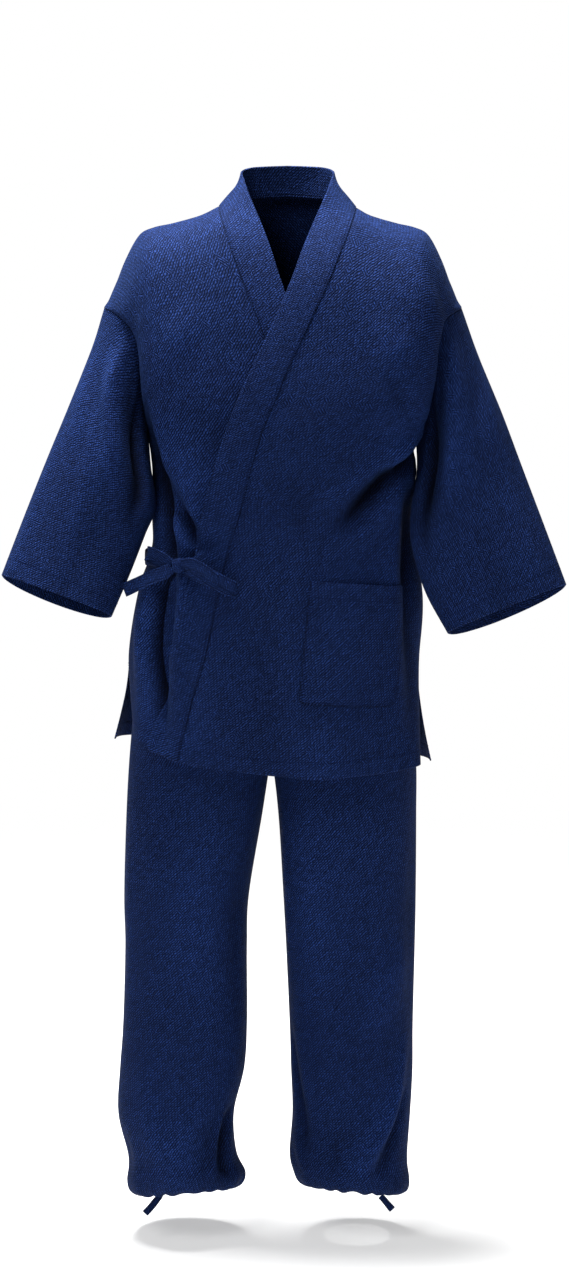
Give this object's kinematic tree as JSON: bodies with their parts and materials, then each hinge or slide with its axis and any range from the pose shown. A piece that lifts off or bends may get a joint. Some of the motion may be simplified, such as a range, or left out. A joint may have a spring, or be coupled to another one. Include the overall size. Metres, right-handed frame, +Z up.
{
  "type": "samue set",
  "caption": "Indigo samue set in its worn, hollow form: wrap jacket with side tie and patch pocket, and loose trousers gathered at the hems.",
  "frame": {"origin": "middle of the shoulder line, where the wearer's shoulders hold the jacket up", "axes": "+Z up towards the collar, -Y out of the garment's front, +X to the garment's own left side"},
  "size_m": [0.78, 0.2902, 1.4887],
  "materials": {
    "cloth": "matte",
    "band_cloth": "matte",
    "tape": "matte"
  },
  "bodies": {
    "root": {"jacket_back": "cloth", "jacket_front_right": "cloth", "jacket_front_left": "cloth", "sleeve_right": "cloth", "sleeve_left": "cloth", "collar": "band_cloth", "pocket": "cloth", "trouser_front_right": "cloth", "trouser_back_right": "cloth", "trouser_front_left": "cloth", "trouser_back_left": "cloth", "waistband": "band_cloth", "front_tie": "tape", "side_tie": "tape", "bow_knot": "tape", "bow_loop_front": "tape", "bow_tail_front": "tape", "bow_loop_side": "tape", "bow_tail_side": "tape", "ankle_tape_right": "tape", "ankle_tape_left": "tape"}
  },
  "joints": []
}
